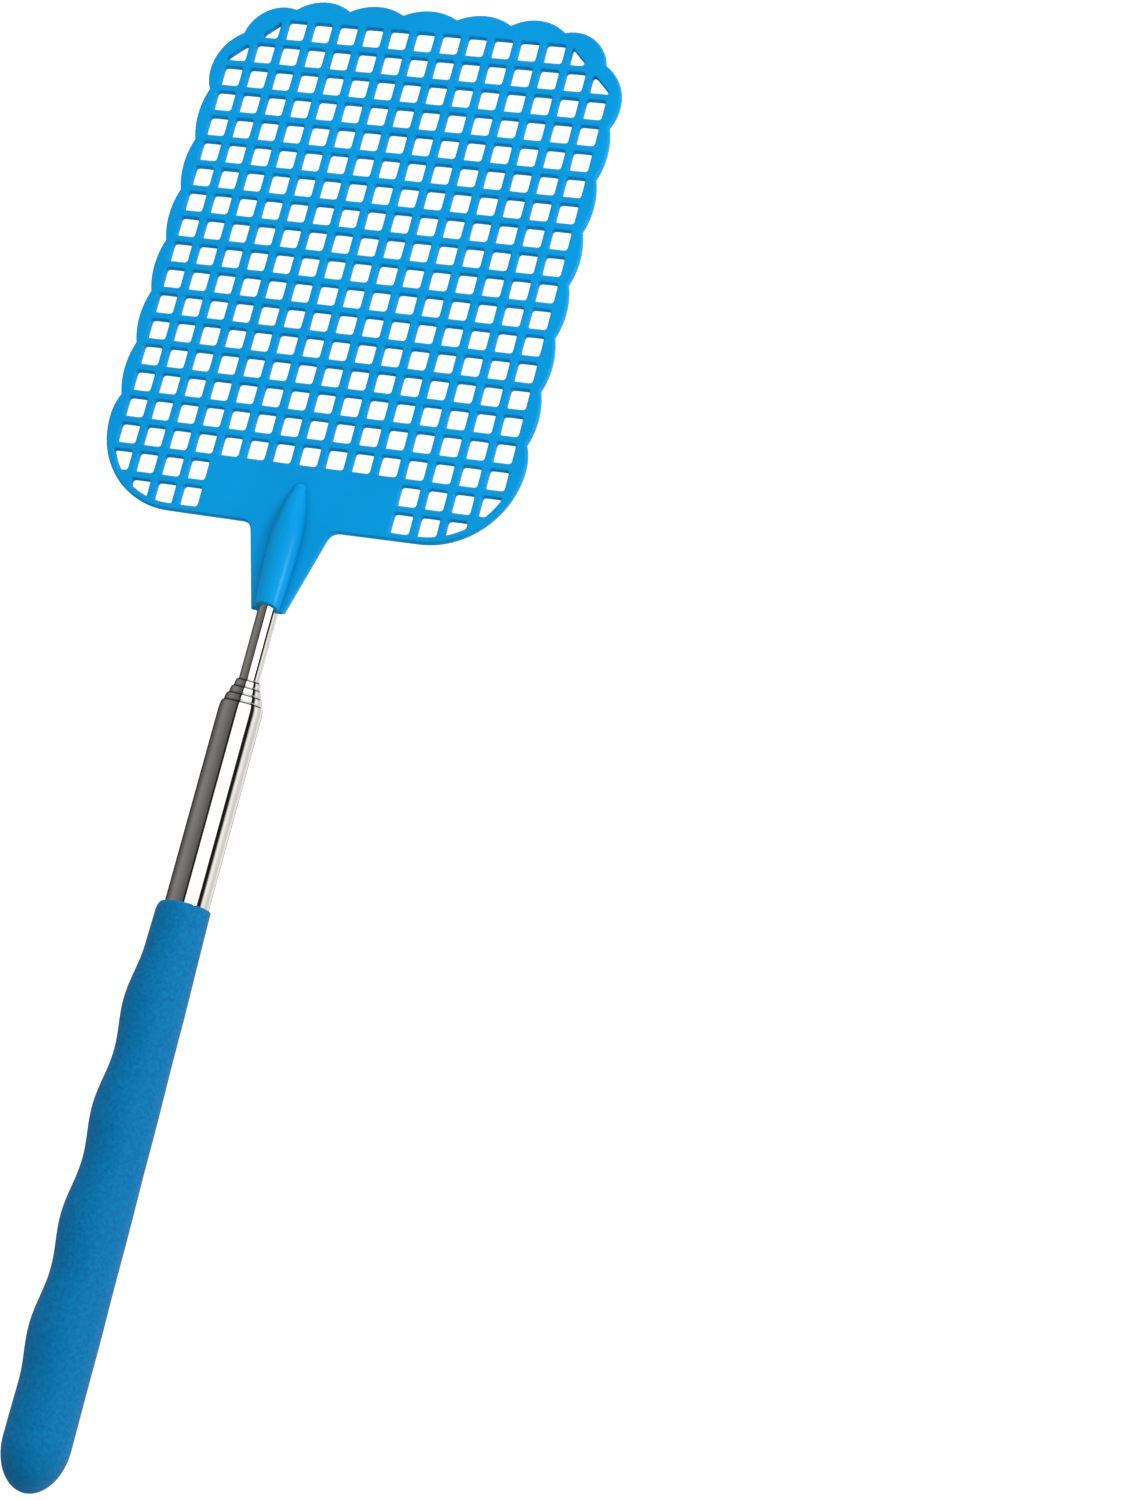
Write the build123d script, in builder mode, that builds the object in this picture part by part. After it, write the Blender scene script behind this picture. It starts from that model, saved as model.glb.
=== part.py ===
from build123d import *
import os
from math import cos, pi, radians, sin, sqrt, tan

# A telescopic fly swatter, closed up and lying on its back: a moulded mesh head on five steel
# tubes that slide into each other, with a finger grip on the outermost one.
# +Y runs from the butt of the grip to the far end of the head, +X is to the right of the head's
# striking face, and +Z is out of that face. The origin is under the middle of the whole swatter,
# level with the grip's lowest line. Lengths are in millimetres. A station is a distance from the
# tip of the butt, measured along the tubes.

# ---------------------------------------------------------------- head
pitch = 5.15            # the mesh repeats at this distance, both ways
columns = 15
rows = 19
opening = 3.65          # width of one square opening
opening_corner = 0.5
smallest_opening = 1.0  # area under which the mould leaves an opening out
plate = 1.3             # thickness of rim, bars and neck

# Places on the head's outline are in pitches: right of the middle column of openings, and
# towards the neck from the farthest row of openings.
rim_top = -1.25
rim_side = 7.88
rim_bottom = 18.62
top_scallop = 2.08      # width of the scallops along the far edge, and the rows of their notches
top_notches = [-0.99, -0.96, -0.86]
side_scallop = 2.0
side_notch = 7.71
side_scallops = 6       # between the two corners
corner_notches = [(5.2, -0.86), (7.0, 0.24), (7.71, 2.58)]
corner_crests = [(6.43, -0.65), (7.74, 1.03)]
plain_corner = 3.15     # outer radius of the two corners beside the neck
plain_centre = (4.75, 15.45)
field_top = [(0, -0.5), (5.38, -0.5), (7.6, 1.5)]   # openings stop at the rim's inner edge
field_fillet = 1.2
field_corner = 2.85
patch_columns = 3       # no openings this far each side of the middle, over the neck's root
patch_rows = 2
neck_root = 1.52        # half widths of the neck
neck_end = 0.61
neck_end_row = 21.73
neck_fillet = 0.3

ridge_radius = 3.2      # the socket stands out of the plate as a round ridge on both faces
ridge_mouth = 2.5       # its radius at the neck's end
ridge_length = 24.4
ridge_nose = 12.0       # from its widest place it narrows to a small round tip
ridge_tip = 1.5
mouth_slope = 25        # degrees that its end leans back, away from the plate
socket_depth = 17.5

# ---------------------------------------------------------------- tubes, outermost first
tube_diameters = [7.8, 6.75, 5.7, 4.7, 3.65]
wall = 0.25
shoulders = [2.0, 1.25, 1.25, 1.25]   # length of the closed-in stretch at each mouth
mouth_step = 1.45       # each mouth stands this far out of the next larger one
mouth_land = 0.5
mouth_lip = 0.1
running = 0.05          # radial clearance between pieces that slide or turn on each other
fitted = 0.02           # radial clearance between pieces that are pressed or glued together
first_bottom = 10.0     # stations
first_mouth = 140.1
neck_mouth = 157.7

# ---------------------------------------------------------------- base of each moving tube
plug_length = 3.0
end_gap = 0.2
flange = 1.0            # the bushing's collar, below the friction springs
spring_length = 4.4
spring_gap = 0.1
spring_sheet = 0.45     # thickness of a friction spring
spring_opening = 14     # degrees left free between the two half springs
spigot = 2.5            # the part of the bushing pressed into the tube

# ---------------------------------------------------------------- grip
grip_length = 102.7
butt_dome = 8.5
top_round = 1.7
top_wall = 0.45
finger_pitch = 19.2
first_finger = 27.2
finger_count = 4
finger_height = 0.95
bore_floor = 9.7


def grip_section(u):
    """X of the centre and radius of the grip's round section, at a station.

    The +X side is nearly straight and the finger side is waved, so the centre moves too.
    """
    plain_side = 5.6 - 0.0058 * u - 0.0000675 * u**2
    finger_side = 6.18 - 0.0035 * u - 0.00007 * u**2
    fingers = (u - first_finger) / finger_pitch
    if -0.5 < fingers < finger_count - 0.5:
        finger_side += finger_height * (1 + cos(2 * pi * fingers)) / 2
    into_dome = min(1, u / butt_dome)
    into_top = max(0, 1 - (grip_length - u) / top_round)
    dome = sqrt(1 - (1 - into_dome) ** 2)
    top = sqrt(1 - into_top**2)
    end_radius = tube_diameters[0] / 2 + top_wall
    radius = end_radius + (dome * (plain_side + finger_side) / 2 - end_radius) * top
    return top * (plain_side - finger_side) / 2, radius


dome_stations = [butt_dome * (1 - cos(pi / 2 * step / 8)) for step in range(1, 8)]
wave_stations = [butt_dome + finger_pitch / 8 * step for step in range(39)]
top_stations = [grip_length - top_round * (1 - sin(pi / 2 * step / 4)) for step in range(5)]
grip_stations = dome_stations + wave_stations + top_stations

axis_height = max(grip_section(u)[1] for u in wave_stations)
total_length = neck_mouth + (neck_end_row - rim_top) * pitch
axis_plane = Plane.XY.offset(axis_height)      # here x is a radius and y runs along the tubes
back_plane = Plane.XY.offset(axis_height - plate / 2)
tube_axis = Axis((0, 0, axis_height), (0, 1, 0))


def along(u):
    """Y of a station."""
    return u - total_length / 2


def on_head(column, row):
    """X and Y of a place on the head that is given in pitches."""
    return column * pitch, along(neck_mouth + (neck_end_row - row) * pitch)


def ring_profile(inner, outer, start, end):
    """Half section of a plain ring round the tubes' axis, between two stations."""
    with Locations((inner, along(start))):
        Rectangle(outer - inner, end - start, align=(Align.MIN, Align.MIN))


def finish(piece, name):
    """Label a finished piece and write it."""
    piece.label = name
    export_step(piece, f"parts/{name}.step")


os.makedirs("parts", exist_ok=True)

# ---------------------------------------------------------------- head
with BuildSketch(back_plane) as head_face:
    with BuildLine():
        TangentArc(on_head(0, rim_top), on_head(top_scallop / 2, top_notches[0]), tangent=(1, 0))
        for index in (1, 2):
            ThreePointArc(
                on_head(top_scallop * (index - 0.5), top_notches[index - 1]),
                on_head(top_scallop * index, rim_top),
                on_head(top_scallop * (index + 0.5), top_notches[index]),
            )
        for start, crest, end in zip(corner_notches, corner_crests, corner_notches[1:]):
            ThreePointArc(on_head(*start), on_head(*crest), on_head(*end))
        last_row = corner_notches[-1][1]
        for index in range(side_scallops):
            ThreePointArc(
                on_head(side_notch, last_row),
                on_head(rim_side, last_row + side_scallop / 2),
                on_head(side_notch, last_row + side_scallop),
            )
            last_row += side_scallop
        corner_x, corner_row = plain_centre
        side_end = on_head(corner_x + plain_corner, corner_row)
        TangentArc(side_end, on_head(side_notch, last_row), tangent=(0, 1))
        diagonal = plain_corner * sin(radians(45))
        corner_end = on_head(corner_x, rim_bottom)
        ThreePointArc(side_end, on_head(corner_x + diagonal, corner_row + diagonal), corner_end)
        FilletPolyline(
            corner_end,
            on_head(neck_root, rim_bottom),
            on_head(neck_end, neck_end_row),
            radius=neck_fillet * pitch,
        )
        Line(on_head(neck_end, neck_end_row), on_head(0, neck_end_row))
        mirror(about=Plane.YZ)
    make_face()

# The rim's inner edge, which cuts the openings in the corners.
with BuildSketch(back_plane) as rim_inside:
    with BuildLine():
        field_x = plain_centre[0]
        field_row = rows - 1 + opening / pitch / 2 - field_corner
        field_side = (field_x + field_corner, field_row)
        field_end = on_head(field_x, field_row + field_corner)
        field_points = [on_head(*point) for point in field_top + [field_side]]
        FilletPolyline(*field_points, radius=field_fillet * pitch)
        diagonal = field_corner * sin(radians(45))
        ThreePointArc(field_points[-1], on_head(field_x + diagonal, field_row + diagonal), field_end)
        Line(field_end, on_head(0, field_row + field_corner))
        mirror(about=Plane.YZ)
    make_face()
field = rim_inside.sketch.faces()[0]


def opening_wire(column, row):
    """Outline of one opening, cut by the rim's inner edge, or None if too little of it is left."""
    x, y = on_head(column, row)
    reach = opening / 2
    corners = [(x + right * reach, y + up * reach) for right in (-1, 1) for up in (-1, 1)]
    inside = [field.is_inside(back_plane.origin + Vector(*corner)) for corner in corners]
    if not any(inside):
        return None
    with BuildSketch(back_plane) as square:
        with Locations((x, y)):
            RectangleRounded(opening, opening, opening_corner)
        if not all(inside):
            add(rim_inside.sketch, mode=Mode.INTERSECT)
    if square.sketch.area < smallest_opening:
        return None
    return square.sketch.faces()[0].outer_wire()


opening_wires = []
for row in range(rows):
    for column in range(-(columns // 2), columns // 2 + 1):
        over_neck = abs(column) <= patch_columns and row >= rows - patch_rows
        wire = None if over_neck else opening_wire(column, row)
        if wire:
            opening_wires.append(wire)
mesh_face = Face(head_face.sketch.faces()[0].outer_wire(), opening_wires)

with BuildPart() as head:
    extrude(mesh_face, amount=plate)
    with BuildSketch(axis_plane):
        with BuildLine():
            start = along(neck_mouth)
            end = along(neck_mouth + ridge_length)
            nose_start = end - ridge_nose
            nose_end = (ridge_tip, end - ridge_tip)
            diagonal = ridge_tip * sin(radians(45))
            Line((0, start), (ridge_mouth, start))
            TangentArc((ridge_radius, nose_start), (ridge_mouth, start), tangent=(0, -1))
            TangentArc((ridge_radius, nose_start), nose_end, tangent=(0, 1))
            ThreePointArc(nose_end, (diagonal, end - ridge_tip + diagonal), (0, end))
            Line((0, end), (0, start))
        make_face()
    revolve(axis=tube_axis)
    with BuildSketch(axis_plane):
        ring_profile(0, tube_diameters[-1] / 2 + fitted, neck_mouth, neck_mouth + socket_depth)
    revolve(axis=tube_axis, mode=Mode.SUBTRACT)
    # The ridge's end, cut to a slope above and below the plate.
    with BuildSketch(Plane.YZ):
        for side in (-1, 1):
            near = axis_height + side * plate / 2
            far = axis_height + side * (ridge_radius + 1)
            lean = (ridge_radius + 1 - plate / 2) * tan(radians(mouth_slope))
            with BuildLine():
                Polyline((start, near), (start + lean, far), (start - 1, far), (start - 1, near), close=True)
            make_face()
    extrude(amount=ridge_radius + 1, both=True, mode=Mode.SUBTRACT)
finish(head.part, "head")

# ---------------------------------------------------------------- tubes
base_bottom = first_bottom + plug_length + end_gap
bottoms = [first_bottom]
mouths = [first_mouth]
for index in range(1, len(tube_diameters)):
    bottoms.append(base_bottom + flange + spring_length + 2 * spring_gap)
    mouths.append(first_mouth + mouth_step * index)
    base_bottom = bottoms[-1] + spigot + end_gap
mouths[-1] = neck_mouth + socket_depth - end_gap

for index, diameter in enumerate(tube_diameters):
    outer = diameter / 2
    bore = outer - wall
    bottom = bottoms[index]
    mouth = mouths[index]
    with BuildPart() as section:
        with BuildSketch(axis_plane):
            if index == len(tube_diameters) - 1:
                ring_profile(bore, outer, bottom, mouth)
            else:
                neck_down = along(mouth - shoulders[index])
                gate = tube_diameters[index + 1] / 2 + running
                lip = (gate + mouth_lip, along(mouth))
                with BuildLine():
                    TangentArc((outer, neck_down), lip, tangent=(0, 1))
                    Polyline(
                        lip,
                        (gate, along(mouth - mouth_lip)),
                        (gate, along(mouth - mouth_land)),
                        (bore, neck_down),
                        (bore, along(bottom)),
                        (outer, along(bottom)),
                        (outer, neck_down),
                    )
                make_face()
        revolve(axis=tube_axis)
    finish(section.part, f"section_{index + 1}")

with BuildPart() as end_plug:
    with BuildSketch(axis_plane):
        plug_radius = tube_diameters[0] / 2 - wall - fitted
        ring_profile(0, plug_radius, first_bottom, first_bottom + plug_length)
    revolve(axis=tube_axis)
finish(end_plug.part, "end_plug")

# ---------------------------------------------------------------- bushings and friction springs
# Each moving tube slides on two half-round friction springs. They sit round the waist of a
# bushing, between its flange and the end of the tube, and press against the bore outside.
for index in range(1, len(tube_diameters)):
    bottom = bottoms[index]
    guide = tube_diameters[index - 1] / 2 - wall
    spring_outer = guide - running
    spring_inner = spring_outer - spring_sheet
    spigot_radius = tube_diameters[index] / 2 - wall - fitted
    waist = min(spring_inner - running, spigot_radius)
    spring_end = bottom - spring_gap
    spring_start = spring_end - spring_length
    collar_end = spring_start - spring_gap
    with BuildPart() as bushing:
        with BuildSketch(axis_plane):
            ring_profile(0, guide - 2 * running, collar_end - flange, collar_end)
            ring_profile(0, waist, collar_end, bottom)
            ring_profile(0, spigot_radius, bottom, bottom + spigot)
        revolve(axis=tube_axis)
    finish(bushing.part, f"bushing_{index + 1}")

    for half, start_angle in (("lower", spring_opening / 2), ("upper", 180 + spring_opening / 2)):
        turn = radians(start_angle)
        half_plane = Plane(
            origin=(0, 0, axis_height),
            x_dir=(cos(turn), 0, -sin(turn)),
            z_dir=(sin(turn), 0, cos(turn)),
        )
        with BuildPart() as spring:
            with BuildSketch(half_plane):
                ring_profile(spring_inner, spring_outer, spring_start, spring_end)
            revolve(axis=tube_axis, revolution_arc=180 - spring_opening)
        finish(spring.part, f"spring_{index + 1}_{half}")

    travel = mouths[index - 1] - shoulders[index - 1] - spring_end
    print(f"section_{index + 1} slides out {travel:.2f}")

# ---------------------------------------------------------------- grip
with BuildPart() as grip:
    for u in grip_stations:
        centre_x, radius = grip_section(u)
        section_plane = Plane((centre_x, along(u), axis_height), x_dir=(1, 0, 0), z_dir=(0, 1, 0))
        with BuildSketch(section_plane):
            Circle(radius)
    loft()
    with BuildSketch(axis_plane):
        ring_profile(0, tube_diameters[0] / 2 + fitted, bore_floor, grip_length)
    revolve(axis=tube_axis, mode=Mode.SUBTRACT)
finish(grip.part, "grip")
print(f"length {total_length:.2f}, axis height {axis_height:.3f}")
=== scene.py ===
from math import atan2, cos, pi, radians, sin, sqrt, tan

import bmesh
import bpy
from mathutils import Matrix, Vector


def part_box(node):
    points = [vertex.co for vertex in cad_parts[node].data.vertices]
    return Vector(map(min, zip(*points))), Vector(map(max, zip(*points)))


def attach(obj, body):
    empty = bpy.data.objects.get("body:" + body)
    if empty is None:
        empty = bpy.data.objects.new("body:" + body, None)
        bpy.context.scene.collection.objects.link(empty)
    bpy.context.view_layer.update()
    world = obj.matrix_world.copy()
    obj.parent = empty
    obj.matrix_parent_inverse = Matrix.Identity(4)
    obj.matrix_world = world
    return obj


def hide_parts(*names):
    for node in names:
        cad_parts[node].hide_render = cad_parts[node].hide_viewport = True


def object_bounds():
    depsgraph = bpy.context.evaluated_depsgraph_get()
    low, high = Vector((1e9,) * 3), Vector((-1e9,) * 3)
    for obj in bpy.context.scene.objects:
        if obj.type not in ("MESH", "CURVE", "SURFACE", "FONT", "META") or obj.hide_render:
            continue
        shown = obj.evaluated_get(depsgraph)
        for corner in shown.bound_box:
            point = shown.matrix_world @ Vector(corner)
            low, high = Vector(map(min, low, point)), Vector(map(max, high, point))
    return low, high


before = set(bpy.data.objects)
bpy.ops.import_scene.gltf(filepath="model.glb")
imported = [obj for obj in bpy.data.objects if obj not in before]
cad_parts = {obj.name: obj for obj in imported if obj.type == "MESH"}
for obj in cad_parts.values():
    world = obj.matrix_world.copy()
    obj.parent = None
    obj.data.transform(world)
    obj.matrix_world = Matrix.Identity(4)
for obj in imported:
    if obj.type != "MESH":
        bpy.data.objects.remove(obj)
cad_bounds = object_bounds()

# A telescopic fly swatter, closed up. Lengths are in metres, in the frame of the CAD model:
# +Y from the butt to the head, +X to the right of the striking face, +Z out of it.

MM = 0.001

# ---------------------------------------------------------------- places, from the frame
head_low, head_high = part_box("head")
grip_low, grip_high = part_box("grip")
rod_low, rod_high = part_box("section_1")
AXIS_Z = (rod_low.z + rod_high.z) / 2
BUTT_Y = grip_low.y
PITCH = 5.15 * MM
RIM_TOP = -1.25                      # in pitches from the farthest row of openings
PLATE = 1.3 * MM


def on_head(column, row):
    """X and Y of a place given in mesh pitches, right of the middle and towards the neck."""
    return Vector((column * PITCH, head_high.y + (RIM_TOP - row) * PITCH))


# ---------------------------------------------------------------- mesh helpers
def mesh_object(name, mesh):
    piece = bpy.data.objects.new(name, mesh)
    bpy.context.scene.collection.objects.link(piece)
    return piece


def smooth(mesh, angle):
    """Smooth shading, with edges sharper than the angle kept crisp."""
    for polygon in mesh.polygons:
        polygon.use_smooth = True
    mesh.set_sharp_from_angle(angle=radians(angle))


def finished(name, bm):
    """A mesh of the faces, all facing outwards."""
    bmesh.ops.recalc_face_normals(bm, faces=bm.faces)
    mesh = bpy.data.meshes.new(name)
    bm.to_mesh(mesh)
    bm.free()
    return mesh


def rings_to_mesh(name, rings):
    """A tube of quads through rings of points, with its two ends filled."""
    bm = bmesh.new()
    loops = [[bm.verts.new(point) for point in ring] for ring in rings]
    count = len(loops[0])
    for near, far in zip(loops, loops[1:]):
        for i in range(count):
            j = (i + 1) % count
            bm.faces.new((near[i], near[j], far[j], far[i]))
    for loop in (loops[0], loops[-1]):
        bm.faces.new(loop)
    return finished(name, bm)


def lathe(name, profile, around=96, loop=False):
    """A solid turned about the tubes' axis from (radius, y) points.

    With loop=True the profile is a closed outline that stays off the axis, such as a tube wall.
    """
    bm = bmesh.new()
    rings = []
    for radius, y in profile:
        if radius < 1e-7:
            rings.append([bm.verts.new((0, y, AXIS_Z))])
            continue
        turn = 2 * pi / around
        rings.append([
            bm.verts.new((radius * cos(turn * i), y, AXIS_Z + radius * sin(turn * i)))
            for i in range(around)
        ])
    pairs = list(zip(rings, rings[1:]))
    if loop:
        pairs.append((rings[-1], rings[0]))
    for near, far in pairs:
        for i in range(around):
            j = (i + 1) % around
            if len(near) == 1:
                bm.faces.new((near[0], far[j], far[i]))
            elif len(far) == 1:
                bm.faces.new((near[i], near[j], far[0]))
            else:
                bm.faces.new((near[i], near[j], far[j], far[i]))
    return mesh_object(name, finished(name, bm))


def arc(centre, radius, start, end, steps):
    """Points of an arc, its angles in degrees."""
    angles = [radians(start + (end - start) * i / steps) for i in range(steps + 1)]
    return [centre + radius * Vector((cos(a), sin(a))) for a in angles]


def arc_through(a, b, c, steps):
    """Points on the circle from a through b to c, without c."""
    a, b, c = Vector(a), Vector(b), Vector(c)
    twice = 2 * (a.x * (b.y - c.y) + b.x * (c.y - a.y) + c.x * (a.y - b.y))
    aa, bb, cc = a.length_squared, b.length_squared, c.length_squared
    centre = Vector((
        (aa * (b.y - c.y) + bb * (c.y - a.y) + cc * (a.y - b.y)) / twice,
        (aa * (c.x - b.x) + bb * (a.x - c.x) + cc * (b.x - a.x)) / twice,
    ))
    radius = (a - centre).length
    start = atan2(a.y - centre.y, a.x - centre.x)
    middle = (atan2(b.y - centre.y, b.x - centre.x) - start + pi) % (2 * pi) - pi
    end = (atan2(c.y - centre.y, c.x - centre.x) - start + pi) % (2 * pi) - pi
    if middle * end < 0:
        end += 2 * pi if middle > 0 else -2 * pi
    angles = [start + end * i / steps for i in range(steps)]
    return [centre + radius * Vector((cos(t), sin(t))) for t in angles]


def bend(here, before, after, reach, steps):
    """A curve round a corner, from reach along the side before it to reach along the one after."""
    start, end = here + before.normalized() * reach, here + after.normalized() * reach
    shares = [k / steps for k in range(steps + 1)]
    return [start * (1 - t) ** 2 + here * 2 * t * (1 - t) + end * t**2 for t in shares]


def rounded(points, radius, steps, least_turn=20):
    """The closed outline with its corners rounded to the radius, or less on short sides."""
    result = []
    for i, here in enumerate(points):
        before, after = points[i - 1] - here, points[(i + 1) % len(points)] - here
        turn = pi - before.angle(after)
        if turn < radians(least_turn):
            result.append(here)
            continue
        most = 0.48 * min(before.length, after.length)
        result += bend(here, before, after, min(radius * tan(turn / 2), most), steps)
    return result


def clipped(polygon, field):
    """The part of a convex polygon inside a convex field, both counterclockwise."""
    for a, b in zip(field, field[1:] + field[:1]):
        kept = []
        for p, q in zip(polygon, polygon[1:] + polygon[:1]):
            p_in = (b - a).cross(p - a) >= 0
            q_in = (b - a).cross(q - a) >= 0
            if p_in:
                kept.append(p)
            if p_in != q_in:
                share = (b - a).cross(p - a) / ((b - a).cross(p - a) - (b - a).cross(q - a))
                kept.append(p + (q - p) * share)
        polygon = kept
        if not polygon:
            return []
    return polygon


def area(polygon):
    return sum(p.cross(q) for p, q in zip(polygon, polygon[1:] + polygon[:1])) / 2


# ---------------------------------------------------------------- the head
COLUMNS, ROWS = 15, 19
PATCH_REACH, PATCH_ROWS = 3, 2       # openings left out over the neck, each side of the middle
OPENING = 3.65 * MM
OPENING_CORNER = 0.6 * MM
SMALLEST_OPENING = 1.0 * MM * MM
SHORTEST_SIDE = 0.05 * MM            # of an opening cut by the rim
BAR_ROUNDING = 0.36 * MM             # radius of the rounded edges of bars and rim
RIM_BOTTOM = 18.62
PLAIN_CENTRE, PLAIN_CORNER = (4.75, 15.45), 3.15
NECK_ROOT, NECK_END, NECK_END_ROW = 1.52, 0.61, 21.73
NECK_FILLET = 0.34 * PITCH
RIDGE_RADIUS, RIDGE_MOUTH, RIDGE_TIP = 3.2 * MM, 2.5 * MM, 1.5 * MM
RIDGE_LENGTH, RIDGE_NOSE = 24.4 * MM, 12 * MM
MOUTH_SLOPE = radians(25)
SOCKET_DEPTH, SOCKET_RADIUS, SOCKET_INLET = 17.5 * MM, 1.845 * MM, 0.05 * MM


def half_outline():
    """The head's outline from the middle of the far edge, down the right side to the neck."""
    rim_side, notch, first_notch, side_scallops = 7.88, 7.71, 2.58, 6
    scallops = [((-1.04, -0.99), (0, RIM_TOP), (1.04, -0.99)),
                ((1.04, -0.99), (2.08, RIM_TOP), (3.12, -0.96)),
                ((3.12, -0.96), (4.16, RIM_TOP), (5.2, -0.86)),
                ((5.2, -0.86), (6.43, -0.65), (7.0, 0.24)),
                ((7.0, 0.24), (7.74, 1.03), (notch, first_notch))]
    for row in range(side_scallops):
        start = first_notch + 2 * row
        scallops.append(((notch, start), (rim_side, start + 1), (notch, start + 2)))
    points = []
    for start, crest, end in scallops:
        stretch = arc_through(on_head(*start), on_head(*crest), on_head(*end), 12)
        points += stretch if points else stretch[6:]
    corner = on_head(*PLAIN_CENTRE)
    side = on_head(PLAIN_CENTRE[0] + PLAIN_CORNER, PLAIN_CENTRE[1])
    blend = on_head(7.85, 14.98)
    points += arc_through(on_head(notch, first_notch + 2 * side_scallops), blend, side, 6)
    points += arc(corner, PLAIN_CORNER * PITCH, 0, -90, 24)
    root, end = on_head(NECK_ROOT, RIM_BOTTOM), on_head(NECK_END, NECK_END_ROW)
    return points + bend(root, points[-1] - root, end - root, NECK_FILLET, 8) + [end]


def mirrored(points):
    """A right half, from far to near, closed with its mirror image, counterclockwise."""
    left = [Vector((-p.x, p.y)) for p in points]
    loop = points[::-1] + left
    return [p for p, q in zip(loop, loop[1:] + loop[:1]) if (p - q).length > 1e-6]


def field_outline():
    """The rim's inner edge, which cuts the openings in the corners."""
    corner_radius = 2.85
    row = ROWS - 1 + OPENING / PITCH / 2 - corner_radius
    top = [on_head(*p) for p in ((0, -0.5), (5.38, -0.5), (7.6, 1.5))]
    curve = arc(on_head(PLAIN_CENTRE[0], row), corner_radius * PITCH, 0, -90, 14)
    return rounded(mirrored(top + curve), 1.2 * PITCH, steps=8)


def openings():
    """Outlines of the mesh openings, all counterclockwise."""
    field = field_outline()
    reach = OPENING / 2
    loops = []
    for row in range(ROWS):
        for column in range(-(COLUMNS // 2), COLUMNS // 2 + 1):
            if abs(column) <= PATCH_REACH and row >= ROWS - PATCH_ROWS:
                continue
            x, y = on_head(column, row)
            square = [Vector((x + i * reach, y + j * reach))
                      for i, j in ((-1, -1), (1, -1), (1, 1), (-1, 1))]
            left = clipped(square, field)
            if len(left) > 2 and area(left) > SMALLEST_OPENING:
                left = [p for p, q in zip(left, left[1:] + left[:1])
                        if (p - q).length > SHORTEST_SIDE]
                loops.append(rounded(left, OPENING_CORNER, steps=5))
    return loops


def plate_mesh():
    """The pierced plate, its edges rounded all round."""
    curve = bpy.data.curves.new("plate_outline", "CURVE")
    curve.dimensions = "2D"
    curve.fill_mode = "BOTH"
    curve.extrude = PLATE / 2 - BAR_ROUNDING
    curve.bevel_depth = BAR_ROUNDING
    curve.bevel_resolution = 2
    curve.offset = -BAR_ROUNDING
    for loop in [mirrored(half_outline())] + openings():
        spline = curve.splines.new("POLY")
        spline.points.add(len(loop) - 1)
        for point, place in zip(spline.points, loop):
            point.co = (place.x, place.y, 0, 1)
        spline.use_cyclic_u = True
    holder = mesh_object("plate_curve", curve)
    holder.location.z = AXIS_Z
    bpy.context.view_layer.update()
    mesh = bpy.data.meshes.new_from_object(
        holder.evaluated_get(bpy.context.evaluated_depsgraph_get()))
    mesh.transform(holder.matrix_world)
    bpy.data.objects.remove(holder)
    bm = bmesh.new()
    bm.from_mesh(mesh)
    bmesh.ops.remove_doubles(bm, verts=bm.verts, dist=2e-6)
    bmesh.ops.recalc_face_normals(bm, faces=bm.faces)
    bm.to_mesh(mesh)
    bm.free()
    return mesh


def apply_modifiers(piece):
    """The piece's mesh with its modifiers, in place of them."""
    bpy.context.view_layer.update()
    graph = bpy.context.evaluated_depsgraph_get()
    mesh = bpy.data.meshes.new_from_object(piece.evaluated_get(graph))
    piece.modifiers.clear()
    piece.data = mesh


def boolean(piece, other, operation):
    cut = piece.modifiers.new(operation, "BOOLEAN")
    cut.operation = operation
    cut.solver = "EXACT"
    cut.object = other
    apply_modifiers(piece)
    bpy.data.objects.remove(other)


def end_wedge(side, mouth):
    """What is cut off the ridge's end, above (1) or below (-1) the plate."""
    near, far = PLATE / 2, RIDGE_RADIUS + MM
    lean = (far - near) * tan(MOUTH_SLOPE)
    corners = [(mouth, near), (mouth + lean, far), (mouth - MM, far), (mouth - MM, near)]
    rings = [[(x, y, AXIS_Z + side * z) for y, z in corners] for x in (-far, far)]
    return mesh_object("end_wedge", rings_to_mesh("end_wedge", rings))


def ridge(mouth):
    """The round ridge that holds the socket, widest where its nose begins."""
    end = mouth + RIDGE_LENGTH
    widest = end - RIDGE_NOSE
    profile = [(0, mouth)]
    for k in range(17):
        t = 1 - k / 16
        profile.append((RIDGE_RADIUS - (RIDGE_RADIUS - RIDGE_MOUTH) * t**2,
                        widest - (widest - mouth) * t))
    for k in range(1, 25):
        t = k / 24
        profile.append((RIDGE_RADIUS - (RIDGE_RADIUS - RIDGE_TIP) * t**2,
                        widest + (RIDGE_NOSE - RIDGE_TIP) * t))
    profile += [(RIDGE_TIP * cos(radians(a)), end - RIDGE_TIP + RIDGE_TIP * sin(radians(a)))
                for a in (8, 18, 30, 42, 54, 66, 78)]
    profile.append((0, end))
    return lathe("ridge", profile)


def socket(mouth):
    """The space for the thinnest tube, opened out a little at the mouth."""
    inlet_radius = SOCKET_RADIUS + SOCKET_INLET
    return lathe("socket", [(0, mouth - MM), (inlet_radius, mouth - MM), (inlet_radius, mouth),
                            (SOCKET_RADIUS, mouth + SOCKET_INLET),
                            (SOCKET_RADIUS, mouth + SOCKET_DEPTH), (0, mouth + SOCKET_DEPTH)])


def make_head():
    piece = mesh_object("mesh_head", plate_mesh())
    mouth = head_low.y
    boolean(piece, ridge(mouth), "UNION")
    boolean(piece, socket(mouth), "DIFFERENCE")
    for side in (-1, 1):
        boolean(piece, end_wedge(side, mouth), "DIFFERENCE")
    smooth(piece.data, 40)
    for polygon in piece.data.polygons:
        if abs(polygon.normal.z) > 0.9999:
            polygon.use_smooth = False
    return piece


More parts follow.
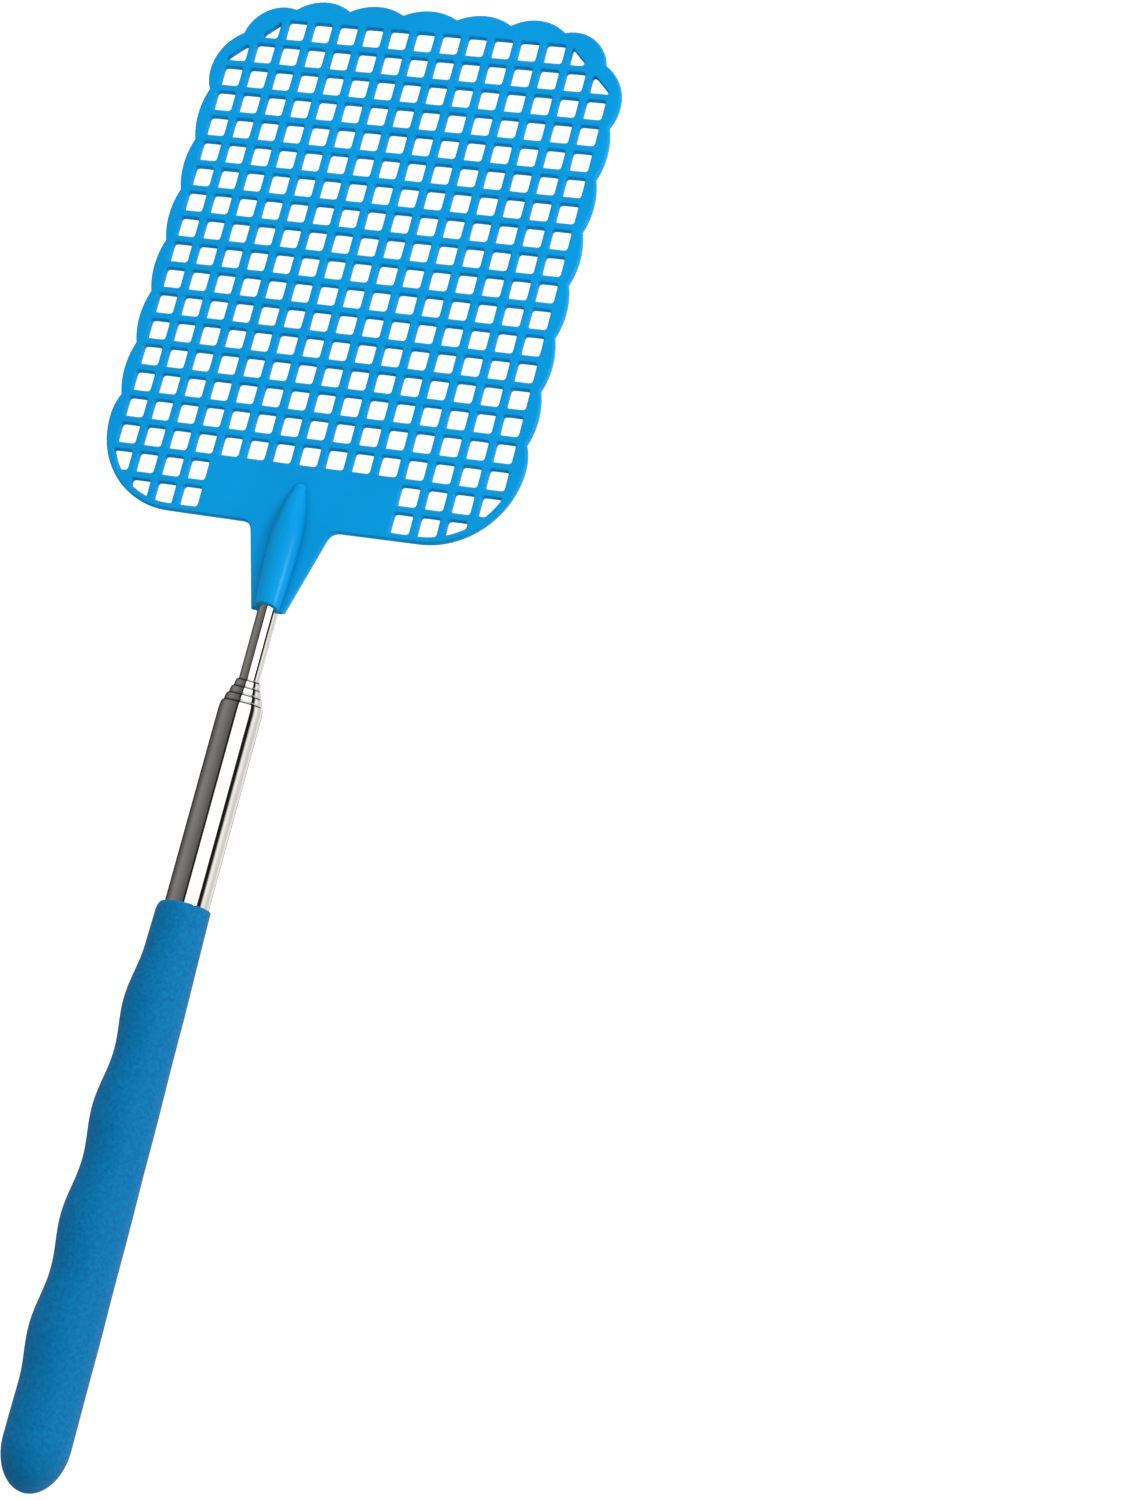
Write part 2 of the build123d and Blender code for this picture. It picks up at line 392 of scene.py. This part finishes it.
# ---------------------------------------------------------------- the tubes
WALL = 0.25 * MM
MOUTH_LIP = 0.1 * MM                 # how far the rolled edge turns in past the shoulder
MOUTH_DEPTH = 0.5 * MM
RUNNING = 0.05 * MM                  # from the mouth to the next tube
TUBE_EDGE = 0.05 * MM
FIRST_SHOULDER, SHOULDER = 2.0 * MM, 1.25 * MM
SHOULDER_FULLNESS = 0.6              # 1 would be an ellipse's quarter, less is squarer
SHOULDER_STEPS = 12
TUBES, TUBE_SIDES = 5, 160


def make_tube(index):
    """One telescopic tube, its mouth rolled in over the next one."""
    low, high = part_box(f"section_{index}")
    outer = (high.x - low.x) / 2
    bore = outer - WALL
    if index == TUBES:
        near, far = low.y + TUBE_EDGE, high.y - TUBE_EDGE
        profile = [(outer, near), (outer, far), (outer - TUBE_EDGE, high.y),
                   (bore + TUBE_EDGE, high.y), (bore, far), (bore, near),
                   (bore + TUBE_EDGE, low.y), (outer - TUBE_EDGE, low.y)]
    else:
        inner_low, inner_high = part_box(f"section_{index + 1}")
        gate = (inner_high.x - inner_low.x) / 2 + RUNNING
        shoulder = FIRST_SHOULDER if index == 1 else SHOULDER
        lip = gate + MOUTH_LIP
        rise = []
        for k in range(SHOULDER_STEPS + 1):
            a = pi / 2 * k / SHOULDER_STEPS
            rise.append((lip + (outer - lip) * cos(a) ** SHOULDER_FULLNESS,
                         high.y - shoulder + shoulder * sin(a)))
        roll = [(gate + MOUTH_LIP * 0.3, high.y - MOUTH_LIP * 0.3), (gate, high.y - MOUTH_LIP)]
        profile = [(outer, low.y)] + rise + roll
        profile += [(gate, high.y - MOUTH_DEPTH), (bore, high.y - shoulder), (bore, low.y)]
    piece = lathe(f"tube_{index}", profile, around=TUBE_SIDES, loop=True)
    smooth(piece.data, 30)
    return piece


# ---------------------------------------------------------------- the grip
GRIP_LENGTH = grip_high.y - grip_low.y
GRIP_DOME, GRIP_TOP = 8.5 * MM, 1.7 * MM
GRIP_BORE, GRIP_BORE_EDGE = 3.92 * MM, 0.12 * MM
GRIP_FLOOR = 9.7 * MM                # from the butt's tip to the bottom of the bore
END_RADIUS = 4.35 * MM               # of the flat ring left by the rounded top
FINGER_CREST, FINGER_PITCH, FINGER_HEIGHT = 27.2, 19.2, 0.95    # in millimetres
GRIP_SIDES = 112


def grip_section(u):
    """X of the centre and radius of the grip's round section, u metres from the butt's tip."""
    into_dome = min(1, u / GRIP_DOME)
    into_top = max(0, 1 - (GRIP_LENGTH - u) / GRIP_TOP)
    dome = sqrt(1 - (1 - into_dome) ** 2)
    top = sqrt(max(0, 1 - into_top**2))
    # The two sides' half widths, in millimetres, taper towards the top in gentle curves.
    u = u / MM
    plain_side = 5.6 - 0.0058 * u - 0.0000675 * u**2
    finger_side = 6.18 - 0.0035 * u - 0.00007 * u**2
    fingers = (u - FINGER_CREST) / FINGER_PITCH
    if -0.5 < fingers < 3.5:
        finger_side += FINGER_HEIGHT * (1 + cos(2 * pi * fingers)) / 2
    mean = (plain_side + finger_side) / 2 * MM
    shift = (plain_side - finger_side) / 2 * MM
    return top * shift, END_RADIUS + (dome * mean - END_RADIUS) * top


def grip_ring(centre_x, radius, u):
    turn = 2 * pi / GRIP_SIDES
    return [(centre_x + radius * cos(turn * i), BUTT_Y + u, AXIS_Z + radius * sin(turn * i))
            for i in range(GRIP_SIDES)]


def make_grip():
    straight = GRIP_LENGTH - GRIP_TOP - GRIP_DOME
    steps = [GRIP_DOME * (1 - cos(pi / 2 * k / 18)) for k in (0.3, 0.7, *range(1, 18))]
    steps += [GRIP_DOME + straight * k / 110 for k in range(111)]
    steps += [GRIP_LENGTH - GRIP_TOP + GRIP_TOP * sin(pi / 2 * k / 8) for k in range(1, 9)]
    rings = [grip_ring(*grip_section(u), u) for u in steps]
    rings.append(grip_ring(0, GRIP_BORE + GRIP_BORE_EDGE, GRIP_LENGTH))
    rings.append(grip_ring(0, GRIP_BORE, GRIP_LENGTH - GRIP_BORE_EDGE))
    rings.append(grip_ring(0, GRIP_BORE, GRIP_FLOOR))
    piece = mesh_object("grip_skin", rings_to_mesh("grip_skin", rings))
    smooth(piece.data, 45)
    return piece


# ---------------------------------------------------------------- materials
def new_material(name):
    material = bpy.data.materials.new(name)
    material.use_nodes = True
    nodes, links = material.node_tree.nodes, material.node_tree.links
    shader = nodes["Principled BSDF"]
    return material, nodes, links, shader


def texture(nodes, links, kind, scale, **settings):
    """A 3-D texture node driven by the object's own coordinates, in cycles per metre."""
    place = nodes.new("ShaderNodeTexCoord")
    node = nodes.new(kind)
    links.new(place.outputs["Object"], node.inputs["Vector"])
    node.inputs["Scale"].default_value = scale
    for key, value in settings.items():
        node.inputs[key].default_value = value
    return node


def colour_ramp(nodes, links, factor, stops):
    """A ramp by the factor through (position, colour) stops."""
    ramp = nodes.new("ShaderNodeValToRGB")
    elements = ramp.color_ramp.elements
    for k, (position, colour) in enumerate(stops):
        stop = elements[k] if k < 2 else elements.new(position)
        stop.position = position
        stop.color = (*colour, 1)
    links.new(factor, ramp.inputs["Fac"])
    return ramp.outputs["Color"]


def colour_mix(nodes, links, factor, low, high, shader, from_min, from_max):
    """The shader's base colour, between two colours by a texture's value."""
    mixed = colour_ramp(nodes, links, factor, [(from_min, low), (from_max, high)])
    links.new(mixed, shader.inputs["Base Color"])


def spread(nodes, links, value, from_min, from_max, to_min=0.0, to_max=1.0):
    """The value, moved from one range to another."""
    node = nodes.new("ShaderNodeMapRange")
    node.inputs["From Min"].default_value = from_min
    node.inputs["From Max"].default_value = from_max
    node.inputs["To Min"].default_value = to_min
    node.inputs["To Max"].default_value = to_max
    links.new(value, node.inputs["Value"])
    return node.outputs["Result"]


def roughness_mix(nodes, links, factor, low, high, shader):
    links.new(spread(nodes, links, factor, 0, 1, low, high), shader.inputs["Roughness"])


def bump(nodes, links, height, depth, shader, strength, under=None):
    """Relief of the depth on the shader's normal, over any relief under it."""
    node = nodes.new("ShaderNodeBump")
    node.inputs["Strength"].default_value = strength
    node.inputs["Distance"].default_value = depth
    links.new(height, node.inputs["Height"])
    if under:
        links.new(under.outputs["Normal"], node.inputs["Normal"])
    links.new(node.outputs["Normal"], shader.inputs["Normal"])
    return node


def crease_shade(nodes, links, shader, reach, deepest):
    """Darkens the base colour where other surfaces stand close by, fully in the deepest corners."""
    fully_shaded = 0.3
    colour = shader.inputs["Base Color"].links[0].from_socket
    near = nodes.new("ShaderNodeAmbientOcclusion")
    near.inputs["Distance"].default_value = reach
    shade = nodes.new("ShaderNodeVectorMath")
    shade.operation = "SCALE"
    links.new(colour, shade.inputs[0])
    links.new(spread(nodes, links, near.outputs["AO"], fully_shaded, 1, deepest),
              shade.inputs["Scale"])
    links.new(shade.outputs["Vector"], shader.inputs["Base Color"])


def head_material():
    material, nodes, links, shader = new_material("moulded_blue")
    clouds = texture(nodes, links, "ShaderNodeTexNoise", 60, Detail=3)
    colour_mix(nodes, links, clouds.outputs["Fac"],
               (0.0003, 0.285, 0.665), (0.0006, 0.315, 0.715), shader, 0.3, 0.7)
    skin = texture(nodes, links, "ShaderNodeTexNoise", 1800, Detail=2)
    roughness_mix(nodes, links, skin.outputs["Fac"], 0.22, 0.30, shader)
    bump(nodes, links, skin.outputs["Fac"], 0.006 * MM, shader, 0.4)
    shader.inputs["Specular IOR Level"].default_value = 0.07
    crease_shade(nodes, links, shader, 1.6 * MM, 0.45)
    return material


def grip_material():
    material, nodes, links, shader = new_material("grip_rubber")
    specks = texture(nodes, links, "ShaderNodeTexNoise", 1500, Detail=4, Roughness=0.7)
    colour_mix(nodes, links, specks.outputs["Fac"],
               (0.0002, 0.128, 0.335), (0.0006, 0.192, 0.435), shader, 0.32, 0.68)
    grain = texture(nodes, links, "ShaderNodeTexVoronoi", 1500)
    fine = texture(nodes, links, "ShaderNodeTexNoise", 2600, Detail=3)
    roughness_mix(nodes, links, fine.outputs["Fac"], 0.48, 0.68, shader)
    first = bump(nodes, links, grain.outputs["Distance"], 0.05 * MM, shader, 0.6)
    bump(nodes, links, fine.outputs["Fac"], 0.05 * MM, shader, 0.7, under=first)
    shader.inputs["Specular IOR Level"].default_value = 0.08
    return material


def metal_material(name, colour, roughness, scratch):
    """Polished or turned metal, with marks round the tube's axis."""
    material, nodes, links, shader = new_material(name)
    shader.inputs["Metallic"].default_value = 1.0
    place = nodes.new("ShaderNodeTexCoord")
    stretch = nodes.new("ShaderNodeMapping")
    stretch.inputs["Scale"].default_value = (60, 6000, 60)
    links.new(place.outputs["Object"], stretch.inputs["Vector"])
    marks = nodes.new("ShaderNodeTexNoise")
    marks.inputs["Scale"].default_value = 1.0
    marks.inputs["Detail"].default_value = 2
    links.new(stretch.outputs["Vector"], marks.inputs["Vector"])
    haze = texture(nodes, links, "ShaderNodeTexNoise", 120, Detail=3)
    darker = tuple(0.94 * c for c in colour)
    colour_mix(nodes, links, haze.outputs["Fac"], darker, colour, shader, 0.35, 0.65)
    roughness_mix(nodes, links, haze.outputs["Fac"], roughness * 0.7, roughness * 1.3, shader)
    bump(nodes, links, marks.outputs["Fac"], 0.004 * MM, shader, scratch)
    return material


def plug_material():
    material, nodes, links, shader = new_material("dark_plastic")
    clouds = texture(nodes, links, "ShaderNodeTexNoise", 300, Detail=3)
    colour_mix(nodes, links, clouds.outputs["Fac"], (0.02,) * 3, (0.035,) * 3, shader, 0.3, 0.7)
    roughness_mix(nodes, links, clouds.outputs["Fac"], 0.4, 0.55, shader)
    return material


# ---------------------------------------------------------------- putting it together
def paint(piece, material):
    piece.data.materials.clear()
    piece.data.materials.append(material)


def place_piece(piece, node, body, material):
    """The piece stands for a CAD node, moves with its body and takes its finish."""
    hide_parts(node)
    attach(piece, body)
    paint(piece, material)


chrome = metal_material("chromed_tube", (0.86, 0.86, 0.85), 0.045, 0.1)
place_piece(make_head(), "head", "tube_5", head_material())
place_piece(make_grip(), "grip", "handle", grip_material())
for index in range(1, TUBES + 1):
    body = "handle" if index == 1 else f"tube_{index}"
    place_piece(make_tube(index), f"section_{index}", body, chrome)

brass = metal_material("turned_brass", (0.78, 0.58, 0.25), 0.25, 0.5)
bronze = metal_material("spring_bronze", (0.70, 0.42, 0.20), 0.22, 0.3)
for index in range(2, TUBES + 1):
    paint(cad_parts[f"bushing_{index}"], brass)
    for half in ("lower", "upper"):
        paint(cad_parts[f"spring_{index}_{half}"], bronze)
paint(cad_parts["end_plug"], plug_material())


# ---------------------------------------------------------------- floor, light and camera
WHITE = (1, 1, 1, 1)
FLOOR_SIZE, FLOOR_GAP = 6, 0.2 * MM


def make_floor():
    bm = bmesh.new()
    bmesh.ops.create_grid(bm, x_segments=1, y_segments=1, size=FLOOR_SIZE)
    mesh = bpy.data.meshes.new("floor")
    bm.to_mesh(mesh)
    bm.free()
    floor = mesh_object("floor", mesh)
    floor.location.z = cad_bounds[0].z - FLOOR_GAP
    material, nodes, links, shader = new_material("pale_floor")
    shader.inputs["Base Color"].default_value = (0.3, 0.3, 0.3, 1)
    shader.inputs["Roughness"].default_value = 0.9
    shader.inputs["Specular IOR Level"].default_value = 0.0
    shader.inputs["Emission Color"].default_value = WHITE
    shader.inputs["Emission Strength"].default_value = 0.95
    paint(floor, material)
    floor.visible_glossy = False


# What the polished tubes mirror, by the direction's turn about the tubes' axis: 0 is straight
# down, 0.5 straight up, rising through the left side (-X) to the right side (+X).
DARK, GREY, WARM, BRIGHT = (0.012, 0.009, 0.006), (1, 0.95, 0.91), (1, 0.97, 0.92), (1.5, 1.5, 1.47)
STUDIO_BANDS = [
    (0.00, 0.50, GREY), (0.05, 0.03, GREY), (0.17, 0.04, GREY), (0.20, 0.11, GREY), (0.25, 0.15, GREY),
    (0.30, 0.24, GREY), (0.36, 0.22, GREY), (0.43, 0.16, GREY), (0.488, 0.11, GREY),
    (0.496, 1, DARK), (0.519, 1, DARK), (0.525, 1, BRIGHT), (0.70, 1, BRIGHT), (0.710, 1, DARK),
    (0.76, 1, DARK), (0.79, 1.0, WARM), (0.82, 1.0, WARM), (0.85, 0.78, WARM), (0.90, 0.70, WARM),
    (0.96, 0.95, WARM),
]
# Along the tubes' axis, from -1 at the butt's end to 1 at the head's, the same studio is dimmer at
# its ends, and a dark gap draws the tubes' rolled mouths.
STUDIO_ENDS = [(-1.0, 0.8), (-0.25, 0.8), (-0.05, 1), (0.44, 1), (0.53, 0.03), (0.60, 0.03),
               (0.66, 0.65), (1.0, 0.65)]
SOFT_FROM_BUTT, SOFT_FROM_HEAD = 0.25, 0.80


def mirrored_studio(nodes, links, parts):
    """What the pieces reflect, by the parts of the direction."""
    turn = nodes.new("ShaderNodeMath")
    turn.operation = "ARCTAN2"
    links.new(parts.outputs["X"], turn.inputs[0])
    links.new(parts.outputs["Z"], turn.inputs[1])
    bands = [(position, [level * part for part in tint]) for position, level, tint in STUDIO_BANDS]
    around = colour_ramp(nodes, links, spread(nodes, links, turn.outputs["Value"], -pi, pi), bands)
    levels = [((direction + 1) / 2, (level,) * 3) for direction, level in STUDIO_ENDS]
    along = colour_ramp(nodes, links, spread(nodes, links, parts.outputs["Y"], -1, 1), levels)
    both = nodes.new("ShaderNodeVectorMath")
    both.operation = "MULTIPLY"
    links.new(around, both.inputs[0])
    links.new(along, both.inputs[1])
    background = nodes.new("ShaderNodeBackground")
    links.new(both.outputs["Vector"], background.inputs["Color"])
    return background.outputs["Background"]


def soft_light(nodes, links, parts):
    """What lights the pieces: white from all round, stronger from the head's end."""
    background = nodes.new("ShaderNodeBackground")
    background.inputs["Color"].default_value = WHITE
    strength = spread(nodes, links, parts.outputs["Y"], -1, 1, SOFT_FROM_BUTT, SOFT_FROM_HEAD)
    links.new(strength, background.inputs["Strength"])
    return background.outputs["Background"]


def choice(nodes, links, factor, no, yes):
    """One shader where the factor is 0 and the other where it is 1."""
    mix = nodes.new("ShaderNodeMixShader")
    links.new(factor, mix.inputs["Fac"])
    links.new(no, mix.inputs[1])
    links.new(yes, mix.inputs[2])
    return mix.outputs["Shader"]


def make_world():
    """A soft light, a studio of bands for the reflections, and a white backdrop."""
    world = bpy.context.scene.world or bpy.data.worlds.new("studio")
    bpy.context.scene.world = world
    world.use_nodes = True
    nodes, links = world.node_tree.nodes, world.node_tree.links
    nodes.clear()
    place = nodes.new("ShaderNodeTexCoord")
    parts = nodes.new("ShaderNodeSeparateXYZ")
    links.new(place.outputs["Generated"], parts.inputs["Vector"])
    backdrop = nodes.new("ShaderNodeBackground")
    backdrop.inputs["Color"].default_value = WHITE
    ray = nodes.new("ShaderNodeLightPath")
    light = choice(nodes, links, ray.outputs["Is Glossy Ray"],
                   soft_light(nodes, links, parts), mirrored_studio(nodes, links, parts))
    seen = choice(nodes, links, ray.outputs["Is Camera Ray"], light, backdrop.outputs["Background"])
    out = nodes.new("ShaderNodeOutputWorld")
    links.new(seen, out.inputs["Surface"])


def make_light(name, place, size, power, mirrored_in_pieces):
    """A round lamp aimed at the swatter's middle."""
    lamp = bpy.data.lights.new(name, "AREA")
    lamp.shape = "DISK"
    lamp.size = size
    lamp.energy = power
    holder = bpy.data.objects.new(name, lamp)
    bpy.context.scene.collection.objects.link(holder)
    holder.location = place
    holder.rotation_euler = (-Vector(place)).to_track_quat("-Z", "Y").to_euler()
    holder.visible_glossy = mirrored_in_pieces
    holder.visible_camera = False


def make_camera():
    """The camera looks down on the swatter from the right of its butt, rolled to stand it up.

    It stands away from the middle opening of the farthest row, which is the centre here.
    """
    centre = Vector((*on_head(0, 0), AXIS_Z))
    camera = bpy.data.cameras.new("camera")
    camera.sensor_width = 36
    camera.lens = 96
    camera.clip_start = 0.01
    holder = bpy.data.objects.new("camera", camera)
    bpy.context.scene.collection.objects.link(holder)
    away = Vector((56.70, -58.65, 119.21)) * PITCH
    right = Vector((0.9291, 0.2369, -0.2841)).normalized()
    back = Vector((0.3417, -0.2552, 0.9045)).normalized()
    up = back.cross(right).normalized()
    turn = Matrix((right, up, back)).transposed()
    holder.matrix_world = Matrix.Translation(centre + away) @ turn.to_4x4()
    bpy.context.scene.camera = holder


make_floor()
make_world()
make_light("key", (0.25, 0.60, 0.75), 0.4, 4.2, False)
make_light("glint", (0.86, 0.18, 0.52), 0.2, 3.2, True)
make_camera()
bpy.context.scene.view_settings.view_transform = "Standard"
